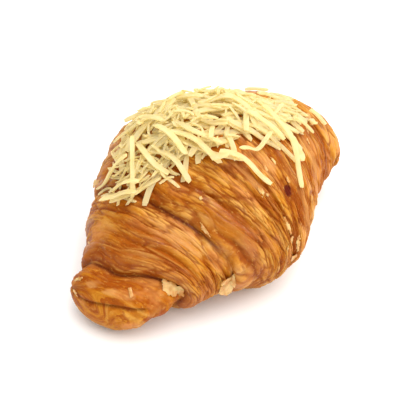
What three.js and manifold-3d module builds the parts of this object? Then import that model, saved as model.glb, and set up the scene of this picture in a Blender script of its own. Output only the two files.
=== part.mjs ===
// A croissant topped with grated cheese, at its real size.
//
// Units are millimetres, +Z is up. The croissant lies along X on its flat baked base, with the
// base in the XY plane and the origin under the middle of the whole object. One rolled piece of
// dough is one solid. Each shred of cheese is a solid of its own that lies on the crust or on
// the shreds under it.

import * as THREE from 'three';
import { ParametricGeometry } from 'three/addons/geometries/ParametricGeometry.js';
import { mergeVertices } from 'three/addons/utils/BufferGeometryUtils.js';
import Module from 'manifold-3d';

const wasm = await Module();
wasm.setup();

// ---------------------------------------------------------------------------------------------
// Driving dimensions of the croissant
// ---------------------------------------------------------------------------------------------

// "along" runs from -1 at the near tip to +1 at the far tip.
const LENGTH = 150;

// Half width of the roll, [along, mm].
const HALF_WIDTH = [[-1, 17.5], [-0.8, 21], [-0.6, 32.5], [-0.35, 42.5], [-0.1, 51],
  [0.2, 47.5], [0.45, 39.5], [0.7, 32.5], [0.85, 27.5], [1, 25]];

// Half height over half width, [along, ratio]: the roll is a little flattened.
const FLATTENING = [[-1, 0.72], [-0.6, 0.68], [0, 0.71], [0.6, 0.75], [1, 0.74]];

// Sideways place of the roll's middle, [along, mm]: the two arms hardly bend.
const SPINE_Y = [[-1, 1.5], [-0.8, -4], [-0.5, 0.5], [0, 0], [0.5, 6.5], [0.8, 5.5], [1, 3]];

// Height of the roll's middle over the base, [along, mm]: the tips curl up slightly.
const SPINE_Z = [[-1, 11.5], [-0.6, 22.5], [0, 29], [0.6, 24.5], [1, 20]];

// The part of each arm that rounds off to its tip, in "along", and how blunt the rounding is.
const NEAR_TIP = 0.16;
const FAR_TIP = 0.16;
const TIP_BLUNTNESS = 2.3;

// The edges where one turn of rolled dough lies over the next. "top" is the edge's place along
// the crown, "slant" how far it has moved along when it reaches the front of the roll, and
// "depth" how far the crust dips there, in mm.
const WRAP_EDGES = [
  { top: -0.85, slant: 0.25, depth: 4.5 },
  { top: -0.50, slant: 0.14, depth: 3 },
  { top: -0.46, slant: 0.21, depth: 2.5 },
  { top: 0.31, slant: -0.16, depth: 3 },
  { top: 0.79, slant: -0.13, depth: 2 },
];

// How much of its slant an edge has made at each angle round the roll, [degrees, share].
// 0 is the back of the roll, 90 the crown, 180 the front and 270 the underside.
const SLANT_SHARE = [[-90, 0.5], [-30, 0.1], [40, 0.1], [90, 0.13], [135, 0.5], [200, 1],
  [225, 1], [270, 0.5]];

// A groove has a long side on the turn that dips under, and a short side on the turn above it.
const GROOVE_LONG_SIDE = 7;
const GROOVE_SHORT_SIDE = 2.5;

// Facets of the croissant, along it and round it.
const STATIONS = 84;
const SECTORS = 32;

// ---------------------------------------------------------------------------------------------
// Driving dimensions of the cheese
// ---------------------------------------------------------------------------------------------

const SHRED_WIDTH = 2.4;
const SHRED_THICKNESS = 1.2;
const SHRED_CLEARANCE = 0.3;

// A shred has a facet every few millimetres, but never more or fewer than these.
const SHRED_FACET = 3;
const SHRED_FACETS = [4, 8];

// A resting shred takes the slope of the ground under it and sags between its supports like
// y = SAG * x * x, in 1/mm. Rounds of smoothing take the kinks out of it.
const SAG = 0.07;
const SMOOTHING_ROUNDS = 3;

// The heap of cheese: a band along the crown, [x, y, half width across] in mm.
const HEAP = [[-40, 14, 12], [-20, 12, 20], [0, 7, 23], [25, 1, 20], [42, -3, 11], [54, -7, 6]];
const HEAP_SHREDS = 26;
const HEAP_TRIES = 16;
const HEAP_SEED = 7;

// Half the length of a shred of the heap, in mm, and the most it bows, as a share of that.
const HALF_LENGTHS = [6, 17];
const HEAP_BOW = 0.2;

// Most shreds of the heap lie across it, within this many degrees of one direction. The others
// lie any way.
const HEAP_HEADING = -45;
const HEADING_SPREAD = 40;
const HEADED_SHARE = 0.7;
const ANY_HEADING = 90;

// The shreds that lie on top or on their own: where each starts and ends, and how far its
// middle bows to the left of the line between them.
const LOOSE_SHREDS = [
  { from: [-9, 27], to: [10, 18], bow: 1 },
  { from: [0, 18], to: [13, 6], bow: 1 },
  { from: [-14, 21], to: [0, 9], bow: -1 },
  { from: [14, 19], to: [30, 7], bow: 1 },
  { from: [40, 8], to: [53, 0], bow: 1 },
  { from: [5, -2], to: [27, -9], bow: 1 },
  { from: [-6, 7], to: [12, -1], bow: 1 },
  { from: [-17, 7], to: [-14, -18], bow: 1 },
  { from: [-25, 11], to: [-25, -12], bow: 2 },
  { from: [25, -7], to: [27, -20], bow: 1 },
  { from: [42, -6], to: [41, -18], bow: -1 },
  { from: [-19, 13], to: [-20, -5], bow: 0 },
  { from: [-24, 19], to: [-27, -2], bow: -3 },
  { from: [-23, 35], to: [-15, 13], bow: 1 },
  { from: [-8, 15], to: [-8, -14], bow: -5 },
  { from: [-1, -9], to: [-9, -22], bow: 1 },
  { from: [28, 5], to: [5, -15], bow: 0 },
  { from: [-2, -3], to: [-13, -12], bow: 0 },
  { from: [-26, 20], to: [-41, 5], bow: 0 },
  { from: [13, -9], to: [18, -25], bow: 1 },
  { from: [22, -18], to: [11, -41], bow: 2 },
  { from: [31, -19], to: [21, -33], bow: 1 },
  { from: [-12, -16], to: [-3, -36], bow: 1 },
  { from: [-6, -22], to: [14, -21], bow: -1 },
  { from: [-17, -16], to: [-12, -21], bow: 0 },
  { from: [40, -13], to: [47, -19], bow: 0 },
  { from: [48, -19], to: [56, -11], bow: 0 },
  { from: [57, -9], to: [62, -15], bow: 0 },
  { from: [45, 20], to: [56, 15], bow: 1 },
  { from: [50, 10], to: [62, 5], bow: 0 },
  { from: [-38, 31], to: [-34, 15], bow: -1 },
  { from: [-48, 17], to: [-41, 3], bow: 1 },
  { from: [-41, 19], to: [-38, 4], bow: -1 },
];

// ---------------------------------------------------------------------------------------------
// Small helpers
// ---------------------------------------------------------------------------------------------

const clamp01 = (value) => Math.min(1, Math.max(0, value));

// A smooth curve through [x, y] points that never overshoots between two of them.
function curveThrough(points) {
  const last = points.length - 1;
  const slopeAfter = (i) => (points[i + 1][1] - points[i][1]) / (points[i + 1][0] - points[i][0]);
  const tangents = points.map((point, i) => {
    if (i === 0) return slopeAfter(0);
    if (i === last) return slopeAfter(last - 1);
    const before = slopeAfter(i - 1);
    const after = slopeAfter(i);
    return before * after > 0 ? (2 * before * after) / (before + after) : 0;
  });
  return (x) => {
    let i = 0;
    while (i < last - 1 && x > points[i + 1][0]) i += 1;
    const span = points[i + 1][0] - points[i][0];
    const t = clamp01((x - points[i][0]) / span);
    const s = 1 - t;
    const ends = points[i][1] * s * s * (1 + 2 * t) + points[i + 1][1] * t * t * (3 - 2 * t);
    return ends + span * t * s * (tangents[i] * s - tangents[i + 1] * t);
  };
}

// Repeatable random numbers from 0 to 1.
function randomFrom(seed) {
  let state = seed;
  return () => {
    state = (state + 0x6d2b79f5) | 0;
    let mixed = Math.imul(state ^ (state >>> 15), 1 | state);
    mixed = (mixed + Math.imul(mixed ^ (mixed >>> 7), 61 | mixed)) ^ mixed;
    return ((mixed ^ (mixed >>> 14)) >>> 0) / 4294967296;
  };
}

// Drops everything but the positions, joins equal vertices and removes collapsed triangles.
function cleaned(geometry) {
  const bare = new THREE.BufferGeometry();
  bare.setAttribute('position', geometry.getAttribute('position').clone());
  bare.setIndex(geometry.getIndex());
  const merged = mergeVertices(bare, 1e-4);
  const corners = Array.from(merged.getIndex().array);
  const kept = [];
  for (let i = 0; i < corners.length; i += 3) {
    const [a, b, c] = corners.slice(i, i + 3);
    if (a !== b && b !== c && c !== a) kept.push(a, b, c);
  }
  merged.setIndex(kept);
  return merged;
}

function toSolid(geometry) {
  const clean = cleaned(geometry);
  return new wasm.Manifold(new wasm.Mesh({
    numProp: 3,
    vertProperties: Float32Array.from(clean.getAttribute('position').array),
    triVerts: Uint32Array.from(clean.getIndex().array),
  }));
}

function toGeometry(solid) {
  const mesh = solid.getMesh();
  const geometry = new THREE.BufferGeometry();
  geometry.setAttribute('position', new THREE.BufferAttribute(mesh.vertProperties, 3));
  geometry.setIndex(new THREE.BufferAttribute(mesh.triVerts, 1));
  geometry.computeVertexNormals();
  return geometry;
}

// ---------------------------------------------------------------------------------------------
// The croissant
// ---------------------------------------------------------------------------------------------

const halfWidthAt = curveThrough(HALF_WIDTH);
const flatteningAt = curveThrough(FLATTENING);
const spineYAt = curveThrough(SPINE_Y);
const spineZAt = curveThrough(SPINE_Z);
const slantShareAt = curveThrough(SLANT_SHARE);

// How far a ring has slid along the roll at full slant. Rings between two wrap edges share
// the slants of both, so every ring runs the way that the edges do.
const ringSlantAt = curveThrough([
  [-1, 0],
  ...WRAP_EDGES.map((edge) => [edge.top, edge.slant]),
  [1, 0],
]);

// 1 along the roll, falling to 0 at each tip on a blunt round end.
function tipRounding(along) {
  const near = clamp01((-along - (1 - NEAR_TIP)) / NEAR_TIP);
  const far = clamp01((along - (1 - FAR_TIP)) / FAR_TIP);
  return Math.sqrt((1 - near ** TIP_BLUNTNESS) * (1 - far ** TIP_BLUNTNESS));
}

// How far the crust dips at this place because of all the wrap edges.
function grooveDepth(along, slantShare) {
  let depth = 0;
  for (const edge of WRAP_EDGES) {
    const towardsMiddle = edge.top < 0 ? 1 : -1;
    const away = (along - edge.top - edge.slant * slantShare) * towardsMiddle * (LENGTH / 2);
    const reach = away < 0 ? GROOVE_LONG_SIDE : GROOVE_SHORT_SIDE;
    depth += edge.depth * Math.exp(-((away / reach) ** 2));
  }
  return depth;
}

// The crust at one ring (-1 to 1) and one angle round the roll.
function crustPoint(ring, degrees, target) {
  const slantShare = slantShareAt(degrees);
  const along = THREE.MathUtils.clamp(ring + ringSlantAt(ring) * slantShare, -1, 1);
  const rounding = tipRounding(along);
  const dip = grooveDepth(along, slantShare) * Math.min(1, rounding);
  const radius = Math.max(0, halfWidthAt(along) * rounding - dip);
  const angle = THREE.MathUtils.degToRad(degrees);
  target.set(
    (along * LENGTH) / 2,
    spineYAt(along) + radius * Math.cos(angle),
    spineZAt(along) + radius * flatteningAt(along) * Math.sin(angle),
  );
}

// Rings crowd towards the tips, where the crust turns fastest.
function ringAt(share) {
  const even = 2 * share - 1;
  return 0.55 * even + 0.45 * Math.sin((even * Math.PI) / 2);
}

function croissantGeometry() {
  const roll = new ParametricGeometry((round, share, target) => {
    crustPoint(ringAt(share), 360 * round - 90, target);
  }, SECTORS, STATIONS);
  const above = new THREE.BoxGeometry(2 * LENGTH, 2 * LENGTH, LENGTH);
  above.translate(0, 0, LENGTH / 2);
  return toGeometry(toSolid(roll).intersect(toSolid(above)));
}

// ---------------------------------------------------------------------------------------------
// The cheese: shreds dropped one after another on a map of heights
// ---------------------------------------------------------------------------------------------

const CELL = 0.5;
const MAP_X = Math.ceil(LENGTH / CELL) + 40;
const MAP_Y = Math.ceil(120 / CELL);

class HeightMap {
  constructor() {
    this.heights = new Float32Array(MAP_X * MAP_Y);
  }

  column(x) {
    return Math.round(x / CELL + MAP_X / 2);
  }

  row(y) {
    return Math.round(y / CELL + MAP_Y / 2);
  }

  // Calls visit(cell number, distance) for each cell nearer than reach.
  around(x, y, reach, visit) {
    const cells = Math.ceil(reach / CELL);
    for (let i = this.column(x) - cells; i <= this.column(x) + cells; i += 1) {
      for (let j = this.row(y) - cells; j <= this.row(y) + cells; j += 1) {
        const away = Math.hypot((i - MAP_X / 2) * CELL - x, (j - MAP_Y / 2) * CELL - y);
        if (away <= reach && i >= 0 && i < MAP_X && j >= 0 && j < MAP_Y) visit(i * MAP_Y + j);
      }
    }
  }

  highest(x, y, reach) {
    let height = 0;
    this.around(x, y, reach, (cell) => {
      height = Math.max(height, this.heights[cell]);
    });
    return height;
  }

  raise(x, y, reach, height) {
    this.around(x, y, reach, (cell) => {
      this.heights[cell] = Math.max(this.heights[cell], height);
    });
  }
}

// The crust's own heights: every triangle is sampled finely enough to reach each cell.
function mapOfCrust(geometry) {
  const map = new HeightMap();
  const position = geometry.getAttribute('position');
  const index = geometry.getIndex();
  const corners = [new THREE.Vector3(), new THREE.Vector3(), new THREE.Vector3()];
  const point = new THREE.Vector3();
  for (let i = 0; i < index.count; i += 3) {
    corners.forEach((corner, k) => corner.fromBufferAttribute(position, index.getX(i + k)));
    const longest = Math.max(
      corners[0].distanceTo(corners[1]),
      corners[1].distanceTo(corners[2]),
      corners[2].distanceTo(corners[0]),
    );
    const steps = Math.ceil(longest / (0.6 * CELL));
    for (let a = 0; a <= steps; a += 1) {
      for (let b = 0; b <= steps - a; b += 1) {
        point.copy(corners[0]).multiplyScalar((steps - a - b) / steps);
        point.addScaledVector(corners[1], a / steps).addScaledVector(corners[2], b / steps);
        const cell = map.column(point.x) * MAP_Y + map.row(point.y);
        map.heights[cell] = Math.max(map.heights[cell], point.z);
      }
    }
  }
  return map;
}

// Points seen from above, on an arc that bows to the left of the line between its two ends.
function planArc(from, to, bow) {
  const points = [];
  const chord = Math.hypot(to[0] - from[0], to[1] - from[1]);
  const left = [-(to[1] - from[1]) / chord, (to[0] - from[0]) / chord];
  const count = Math.max(6, Math.round(chord));
  for (let i = 0; i <= count; i += 1) {
    const t = i / count;
    const aside = 4 * bow * t * (1 - t);
    points.push(new THREE.Vector2(
      from[0] + (to[0] - from[0]) * t + left[0] * aside,
      from[1] + (to[1] - from[1]) * t + left[1] * aside,
    ));
  }
  return points;
}

const mean = (values) => values.reduce((sum, value) => sum + value, 0) / values.length;

// The slope of the straight line that fits the ground under a path best.
function slopeOf(run, ground) {
  const offsets = run.map((distance) => distance - mean(run));
  const rises = ground.map((height) => height - mean(ground));
  return mean(offsets.map((offset, i) => offset * rises[i])) / mean(offsets.map((o) => o * o));
}

// Lowers an arc onto the map: it touches where the ground is high and sags where it is low.
// A strip on a slope is thicker when measured straight up, so each point carries its own top.
function rest(map, plan) {
  const reach = SHRED_WIDTH / 2 + SHRED_CLEARANCE;
  const ground = plan.map((point) => map.highest(point.x, point.y, reach));
  const run = plan.map((point) => point.distanceTo(plan[0]));
  const tilt = slopeOf(run, ground);
  let heights = run.map((here) => Math.max(...ground.map((height, j) => (
    height + tilt * (here - run[j]) - SAG * (here - run[j]) ** 2
  ))));
  for (let round = 0; round < SMOOTHING_ROUNDS; round += 1) {
    heights = heights.map((height, i) => {
      const before = heights[i - 1] ?? height;
      const after = heights[i + 1] ?? height;
      return (before + 2 * height + after) / 4;
    });
  }
  const lift = Math.max(...ground.map((height, i) => height - heights[i]), 0);
  return plan.map((point, i) => {
    const before = Math.max(0, i - 1);
    const after = Math.min(plan.length - 1, i + 1);
    const slope = (heights[after] - heights[before]) / plan[after].distanceTo(plan[before]);
    const half = (SHRED_THICKNESS / 2) * Math.hypot(1, slope);
    const z = heights[i] + lift + SHRED_CLEARANCE + half;
    return { middle: new THREE.Vector3(point.x, point.y, z), top: z + half };
  });
}

function occupy(map, path) {
  const reach = SHRED_WIDTH / 2 + CELL;
  for (const { middle, top } of path) map.raise(middle.x, middle.y, reach, top);
}

// A flat strip along a path. Its sides stay level, so that it lies like a bent plank.
function shredGeometry(path) {
  const route = new THREE.CatmullRomCurve3(path.map(({ middle }) => middle));
  const steps = THREE.MathUtils.clamp(Math.round(route.getLength() / SHRED_FACET), ...SHRED_FACETS);
  const section = [[-1, -1], [1, -1], [1, 1], [-1, 1]];
  const positions = [];
  for (let i = 0; i <= steps; i += 1) {
    const middle = route.getPointAt(i / steps);
    const ahead = route.getTangentAt(i / steps);
    const aside = new THREE.Vector3(-ahead.y, ahead.x, 0).normalize();
    const up = new THREE.Vector3().crossVectors(ahead, aside);
    for (const [across, over] of section) {
      const corner = middle.clone();
      corner.addScaledVector(aside, (across * SHRED_WIDTH) / 2);
      corner.addScaledVector(up, (over * SHRED_THICKNESS) / 2);
      positions.push(corner.x, corner.y, corner.z);
    }
  }
  const triangles = [];
  const quad = (a, b, c, d) => triangles.push(a, b, c, a, c, d);
  for (let i = 0; i < 4 * steps; i += 4) {
    for (let k = 0; k < 4; k += 1) {
      const next = (k + 1) % 4;
      quad(i + k, i + next, i + 4 + next, i + 4 + k);
    }
  }
  quad(3, 2, 1, 0);
  quad(4 * steps, 4 * steps + 1, 4 * steps + 2, 4 * steps + 3);
  const geometry = new THREE.BufferGeometry();
  geometry.setAttribute('position', new THREE.Float32BufferAttribute(positions, 3));
  geometry.setIndex(triangles);
  geometry.computeVertexNormals();
  return geometry;
}

// A random arc in the heap.
function heapArc(random) {
  const centreY = curveThrough(HEAP.map(([x, y]) => [x, y]));
  const halfAcross = curveThrough(HEAP.map(([x, , across]) => [x, across]));
  const x = THREE.MathUtils.lerp(HEAP[0][0], HEAP[HEAP.length - 1][0], random());
  const y = centreY(x) + halfAcross(x) * (random() + random() - 1);
  const spread = random() < HEADED_SHARE ? HEADING_SPREAD : ANY_HEADING;
  const heading = THREE.MathUtils.degToRad(HEAP_HEADING + (2 * random() - 1) * spread);
  const reach = THREE.MathUtils.lerp(...HALF_LENGTHS, random());
  const bow = (2 * random() - 1) * HEAP_BOW * reach;
  const step = [Math.cos(heading) * reach, Math.sin(heading) * reach];
  return planArc([x - step[0], y - step[1]], [x + step[0], y + step[1]], bow);
}

// How high a path lies over the bare crust, on average.
function meanRise(path, crustMap) {
  return mean(path.map(({ middle }) => middle.z - crustMap.highest(middle.x, middle.y, CELL)));
}

// Shreds slide into the low places: of a few arcs, the one that comes to rest lowest is kept.
function heapPath(map, crustMap, random) {
  const paths = Array.from({ length: HEAP_TRIES }, () => rest(map, heapArc(random)));
  return paths.reduce((best, path) => (
    meanRise(path, crustMap) < meanRise(best, crustMap) ? path : best
  ));
}

function cheesePaths(crustMap) {
  const map = new HeightMap();
  map.heights.set(crustMap.heights);
  const random = randomFrom(HEAP_SEED);
  const paths = [];
  const add = (path) => {
    occupy(map, path);
    paths.push(path);
  };
  for (let i = 0; i < HEAP_SHREDS; i += 1) add(heapPath(map, crustMap, random));
  for (const loose of LOOSE_SHREDS) add(rest(map, planArc(loose.from, loose.to, loose.bow)));
  return paths;
}

// ---------------------------------------------------------------------------------------------
// The whole object
// ---------------------------------------------------------------------------------------------

const crust = new THREE.MeshStandardMaterial({ color: '#c97a2b', roughness: 0.4, metalness: 0 });
const cheese = new THREE.MeshStandardMaterial({ color: '#f0e6a6', roughness: 0.5, metalness: 0 });

const part = new THREE.Group();

function addMesh(name, geometry, material) {
  const mesh = new THREE.Mesh(geometry, material.clone());
  mesh.name = name;
  part.add(mesh);
}

const croissant = croissantGeometry();
addMesh('croissant', croissant, crust);
cheesePaths(mapOfCrust(croissant)).forEach((path, i) => {
  addMesh(`cheese_shred_${String(i + 1).padStart(2, '0')}`, shredGeometry(path), cheese);
});

// The origin goes under the middle of the whole object.
const box = new THREE.Box3().setFromObject(part);
part.position.set(-(box.min.x + box.max.x) / 2, -(box.min.y + box.max.y) / 2, -box.min.z);

export default part;
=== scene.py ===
# %% [markdown]
# # A croissant topped with grated cheese
#
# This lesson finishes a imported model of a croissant. The model gives the size and the place of
# every piece. Here the plain crust and the plain shreds are replaced by surfaces with the fine
# shape and the finish of the real ones. The bread and the cheese are measured in millimetres, and
# a factor turns them into Blender's metres; the floor and the lamp are given in metres.

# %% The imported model
import math

import bmesh
import bpy
import numpy as np
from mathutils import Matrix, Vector


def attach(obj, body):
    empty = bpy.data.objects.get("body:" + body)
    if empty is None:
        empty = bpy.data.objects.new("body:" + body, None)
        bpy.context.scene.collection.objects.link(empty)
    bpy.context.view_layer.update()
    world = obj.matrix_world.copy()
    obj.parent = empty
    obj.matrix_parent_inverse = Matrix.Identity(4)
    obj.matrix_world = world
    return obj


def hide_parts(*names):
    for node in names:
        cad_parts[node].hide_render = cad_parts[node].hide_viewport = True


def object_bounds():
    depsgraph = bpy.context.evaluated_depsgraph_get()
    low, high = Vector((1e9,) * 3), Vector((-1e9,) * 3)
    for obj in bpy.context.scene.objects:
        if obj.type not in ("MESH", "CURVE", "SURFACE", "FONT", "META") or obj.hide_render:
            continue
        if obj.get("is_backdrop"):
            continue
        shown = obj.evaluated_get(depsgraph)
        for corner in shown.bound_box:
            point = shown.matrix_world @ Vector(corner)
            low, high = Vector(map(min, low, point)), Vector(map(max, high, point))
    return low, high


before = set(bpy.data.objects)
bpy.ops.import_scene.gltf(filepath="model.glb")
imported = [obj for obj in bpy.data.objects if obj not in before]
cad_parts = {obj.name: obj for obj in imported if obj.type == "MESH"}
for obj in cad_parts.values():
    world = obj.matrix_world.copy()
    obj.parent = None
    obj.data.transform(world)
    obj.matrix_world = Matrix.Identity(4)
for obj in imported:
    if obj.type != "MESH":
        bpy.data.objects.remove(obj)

MM = 0.001
cad_low, cad_high = (list(corner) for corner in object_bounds())
cad_size = [(high - low) / MM for low, high in zip(cad_low, cad_high)]
print("size of the packed model in mm:", [round(size, 1) for size in cad_size])

# %% [markdown]
# ## The camera
#
# The croissant is seen from above one end, about half way up to the top, with a long lens as
# food is usually shot: the far end is then hardly smaller than the near one. The camera is
# placed by its direction and distance from a point inside the bread.

# %% Camera
CAMERA_TURN = -46.7
CAMERA_RISE = 42.0
CAMERA_DISTANCE = 413.0
CAMERA_TARGET = (-6.3, 0.1, 27.8)
LENS = 85.0


def direction(turn, rise):
    """A unit vector for a turn round the object and a rise above the floor, in degrees."""
    turn, rise = math.radians(turn), math.radians(rise)
    flat = math.cos(rise)
    return Vector((math.sin(turn) * flat, -math.cos(turn) * flat, math.sin(rise)))


def add_camera():
    camera = bpy.data.objects.new("camera", bpy.data.cameras.new("camera"))
    bpy.context.scene.collection.objects.link(camera)
    towards_camera = direction(CAMERA_TURN, CAMERA_RISE)
    camera.location = (Vector(CAMERA_TARGET) + towards_camera * CAMERA_DISTANCE) * MM
    camera.rotation_euler = towards_camera.to_track_quat("Z", "Y").to_euler()
    camera.data.lens = LENS
    camera.data.clip_start = 0.01
    bpy.context.scene.camera = camera
    return camera


print("camera at", [round(value, 3) for value in add_camera().location])

# %% [markdown]
# ## Colours and nodes
#
# Colours are written as the hex values that a colour picker shows, and one function turns them
# into the linear numbers that the renderer works with. Another small function adds a node, sets
# it and links it. Every material is made with them.


# %% Helpers for materials
def linear(hex_colour):
    """The linear RGBA of an sRGB hex colour."""
    channels = [int(hex_colour[i:i + 2], 16) / 255 for i in (1, 3, 5)]
    return [c / 12.92 if c <= 0.04045 else ((c + 0.055) / 1.055) ** 2.4 for c in channels] + [1.0]


def new_material(name):
    """An empty material and its node tree."""
    material = bpy.data.materials.new(name)
    material.use_nodes = True
    material.node_tree.nodes.clear()
    return material, material.node_tree


def add_node(tree, kind, settings=None, links=None, stops=(), **inputs):
    """Adds a node with its settings and input values. Links give an input, by its name or number,
    another node's socket or a value. Stops are places on a colour ramp, each with a hex colour
    or a grey."""
    node = tree.nodes.new(kind)
    for name, value in (settings or {}).items():
        setattr(node, name, value)
    for name, value in inputs.items():
        node.inputs[name.replace("_", " ")].default_value = value
    for name, source in (links or {}).items():
        if isinstance(source, bpy.types.NodeSocket):
            tree.links.new(source, node.inputs[name])
        else:
            node.inputs[name].default_value = source
    if stops:
        elements = node.color_ramp.elements
        while len(elements) < len(stops):
            elements.new(0.5)
        for element, (place, colour) in zip(elements, stops):
            element.position = place
            element.color = linear(colour) if isinstance(colour, str) else [colour] * 3 + [1]
    return node


# The settings of a node that mixes two colours, plainly or by multiplying them. Its inputs are
# 0, the share of the second colour, 6, the first colour, and 7, the second.
MIX = {"data_type": "RGBA", "blend_type": "MIX"}
MULTIPLY = {"data_type": "RGBA", "blend_type": "MULTIPLY"}

# %% [markdown]
# ## Floor and light
#
# A plain white sheet under a large soft light is the usual setting for food. The key light
# hangs high over the front, a little to the right, so that the ridges stand out and the
# shadow stays soft and short. A white surrounding fills the shadows. It is dimmer behind the
# bread on its left, which keeps the crust on that side deep in colour.

# %% Floor and lights
FLOOR_SIZE = 60.0
FLOOR_WHITE = "#FCFBFA"
BACK_LEFT = (-0.7, 0.7, 0.0)
SKY_STRENGTH = 1.42


def add_floor():
    mesh = bpy.data.meshes.new("floor")
    half = FLOOR_SIZE / 2
    corners = [(-half, -half, 0), (half, -half, 0), (half, half, 0), (-half, half, 0)]
    mesh.from_pydata(corners, [], [(0, 1, 2, 3)])
    floor = bpy.data.objects.new("floor", mesh)
    bpy.context.scene.collection.objects.link(floor)
    # Matt paper scatters nearly all the light and hardly shines.
    material, tree = new_material("matt_white_paper_sheet")
    shader = add_node(tree, "ShaderNodeBsdfPrincipled", Base_Color=linear(FLOOR_WHITE), Roughness=0.9,
                      Specular_IOR_Level=0.1)
    add_node(tree, "ShaderNodeOutputMaterial", links={"Surface": shader.outputs[0]})
    mesh.materials.append(material)
    floor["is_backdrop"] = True


def add_area_light(name, turn, rise, distance, size, watts, colour):
    """A square lamp that looks at the middle of the floor, placed in degrees and metres."""
    light = bpy.data.lights.new(name, "AREA")
    light.shape = "SQUARE"
    light.size = size
    light.energy = watts
    light.color = linear(colour)[:3]
    lamp = bpy.data.objects.new(name, light)
    bpy.context.scene.collection.objects.link(lamp)
    away = direction(turn, rise)
    lamp.location = away * distance
    lamp.rotation_euler = away.to_track_quat("Z", "Y").to_euler()


def add_surroundings():
    """A white surrounding: bright low down and overhead, dimmer between, where dark walls stand,
    and dimmest behind the bread on its left."""
    world = bpy.data.worlds.new("white_studio")
    bpy.context.scene.world = world
    world.use_nodes = True
    tree = world.node_tree
    tree.nodes.clear()
    looking = add_node(tree, "ShaderNodeTexCoord").outputs["Generated"]
    height = add_node(tree, "ShaderNodeSeparateXYZ", links={"Vector": looking}).outputs["Z"]
    to_back_left = add_node(tree, "ShaderNodeVectorMath", {"operation": "DOT_PRODUCT"},
                            {0: looking, 1: BACK_LEFT}).outputs["Value"]
    by_height = add_node(tree, "ShaderNodeValToRGB", links={0: height},
                         stops=[(0.16, 1.0), (0.3, 0.5), (0.85, 1.0)])
    by_side = add_node(tree, "ShaderNodeValToRGB", links={0: to_back_left},
                       stops=[(0.2, 1.0), (0.8, 0.45)])
    shade = add_node(tree, "ShaderNodeMix", MULTIPLY,
                     {0: 1.0, 6: by_height.outputs[0], 7: by_side.outputs[0]})
    sky = add_node(tree, "ShaderNodeBackground", links={"Color": shade.outputs[2]},
                   Strength=SKY_STRENGTH)
    add_node(tree, "ShaderNodeOutputWorld", links={"Surface": sky.outputs[0]})


add_floor()
add_surroundings()
add_area_light("key_softbox", turn=20, rise=68, distance=1.2, size=1.3, watts=14.0, colour="#FFFEFB")
bpy.context.scene.view_settings.view_transform = "Standard"

# %% [markdown]
# ## The shape of the roll
#
# A croissant is a triangle of dough rolled up from its wide side. Every turn is narrower than
# the one inside it, so the edges of the turns show as steps that run slantwise round the roll.
# The roll could be sculpted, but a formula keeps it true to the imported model: a few widths and
# heights along the roll, joined by smooth curves, and a list of the edges where one turn of
# dough lies over the next.


# %% Curves through a few points
def curve_through(points):
    """A smooth function through (x, y) points that never overshoots between two of them."""
    x, y = (np.array(values, float) for values in zip(*points))
    slopes = np.diff(y) / np.diff(x)
    tangents = np.zeros(len(x))
    tangents[0], tangents[-1] = slopes[0], slopes[-1]
    before, after = slopes[:-1], slopes[1:]
    same_way = before * after > 0
    total = np.where(same_way, before + after, 1)
    tangents[1:-1] = np.where(same_way, 2 * before * after / total, 0)

    def curve(value):
        value = np.clip(value, x[0], x[-1])
        i = np.clip(np.searchsorted(x, value, side="left") - 1, 0, len(x) - 2)
        span = x[i + 1] - x[i]
        t = (value - x[i]) / span
        s = 1 - t
        ends = y[i] * s * s * (1 + 2 * t) + y[i + 1] * t * t * (3 - 2 * t)
        return ends + span * t * s * (tangents[i] * s - tangents[i + 1] * t)

    return curve


# %% The roll's measures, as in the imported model
LENGTH = 150.0
half_width_at = curve_through([
    (-1, 17.5), (-0.8, 21), (-0.6, 32.5), (-0.35, 42.5), (-0.1, 51),
    (0.2, 47.5), (0.45, 39.5), (0.7, 32.5), (0.85, 27.5), (1, 25),
])
flattening_at = curve_through([(-1, 0.72), (-0.6, 0.68), (0, 0.71), (0.6, 0.75), (1, 0.74)])
spine_y_at = curve_through([
    (-1, 1.5), (-0.8, -4), (-0.5, 0.5), (0, 0), (0.5, 6.5), (0.8, 5.5), (1, 3),
])
spine_z_at = curve_through([(-1, 11.5), (-0.6, 22.5), (0, 29), (0.6, 24.5), (1, 20)])
slant_share_at = curve_through([
    (-90, 0.5), (-30, 0.1), (40, 0.1), (90, 0.13), (135, 0.5), (200, 1), (225, 1), (270, 0.5),
])
TIP_SHARE = 0.16
TIP_BLUNTNESS = 2.3

# Each edge: its place along the crown, its slant towards the front, the dip in mm, and how far
# the upper turn overhangs the lower one, in mm.
WRAP_EDGES = [
    (-0.85, 0.25, 4.5, 2.3),
    (-0.50, 0.14, 3.2, 2.2),
    (-0.46, 0.21, 2.2, 0.4),
    (0.31, -0.16, 3.0, 1.0),
    (0.79, -0.13, 1.8, 1.0),
]
ring_slant_at = curve_through([(-1, 0)] + [edge[:2] for edge in WRAP_EDGES] + [(1, 0)])


def tip_rounding(along):
    """1 along the roll, falling to 0 at each tip."""
    into_tip = np.clip((np.abs(along) - (1 - TIP_SHARE)) / TIP_SHARE, 0, 1)
    return np.sqrt(1 - into_tip ** TIP_BLUNTNESS)


# %% [markdown]
# ## Noise that can be repeated
#
# Baked dough is never regular. The unevenness comes from value noise: random numbers on a
# lattice, smoothly joined. The numbers are hashed from the lattice place and a seed, so every
# run of the file bakes the same croissant.


# %% Value noise
def hashed(i, j, seed):
    """Repeatable numbers from 0 to 1 for whole-number lattice places."""
    mixed = (i.astype(np.int64) * 374761393 + j.astype(np.int64) * 668265263 + seed * 1442695041)
    mixed = ((mixed ^ (mixed >> 13)) & 0x7FFFFFFF) * 1274126177 & 0x7FFFFFFF
    mixed = (mixed ^ (mixed >> 15)) * 2246822519 & 0x7FFFFFFF
    return mixed / 0x7FFFFFFF


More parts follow.
